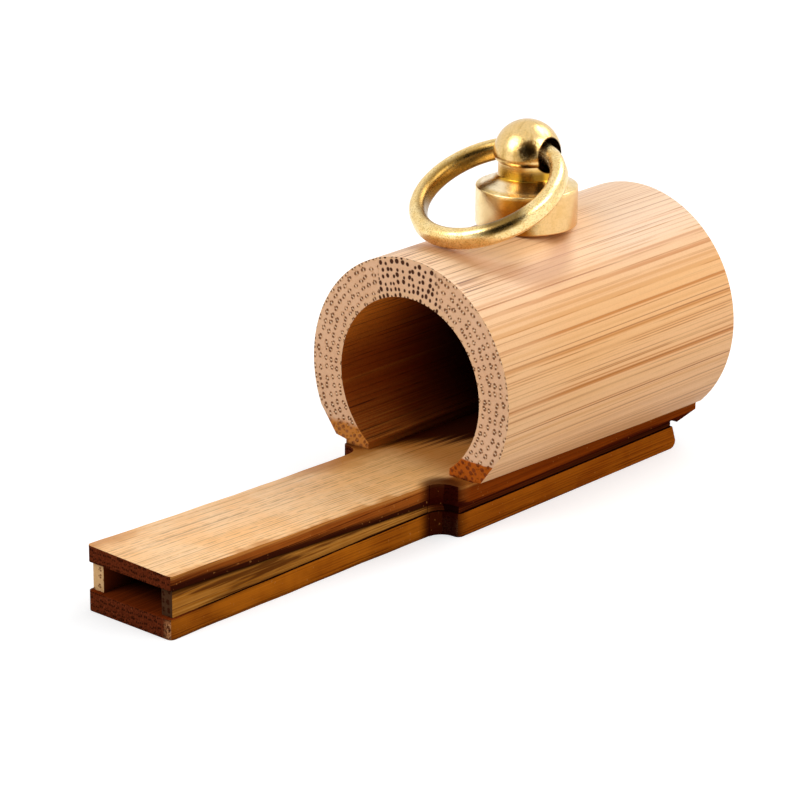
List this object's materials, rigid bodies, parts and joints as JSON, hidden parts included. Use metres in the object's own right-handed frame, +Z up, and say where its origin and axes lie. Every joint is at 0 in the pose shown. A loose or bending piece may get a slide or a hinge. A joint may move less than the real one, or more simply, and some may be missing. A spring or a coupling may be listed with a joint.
{
  "type": "bird call",
  "caption": "Bamboo bird call: a flat whistle stem glued under a short open tube that a finger closes, with a swinging brass ring on a turned stud for a neck cord.",
  "frame": {"origin": "middle of the overall length and width, on the flat underside of the lower board", "axes": "+Z up from the flat underside, +X from the mouth end towards the far end of the tube, +Y to the left seen from the mouth end looking at the tube"},
  "size_m": [0.0764, 0.026, 0.0375],
  "materials": {
    "tube_bamboo": "natural bamboo culm, satin",
    "plug_bamboo": "bare bamboo, matt",
    "board_bamboo": "stained bamboo, satin",
    "spacer_bamboo": "bare bamboo, matt",
    "brass": "turned and polished",
    "screw_steel": "plain"
  },
  "bodies": {
    "whistle": {"resonator_tube": "tube_bamboo", "end_plug": "plug_bamboo", "roof_board": "board_bamboo", "floor_board": "board_bamboo", "left_spacer": "spacer_bamboo", "right_spacer": "spacer_bamboo", "ring_stud": "brass", "fixing_screw": "screw_steel"},
    "ring": {"ring": "brass"}
  },
  "joints": [
    {"name": "ring_swing", "type": "hinge", "parent": "whistle", "child": "ring", "pos_m": [0.01925, 0, 0.0343], "axis": [0, 0.9981, -0.061], "range_deg": [0, 231.4]}
  ]
}
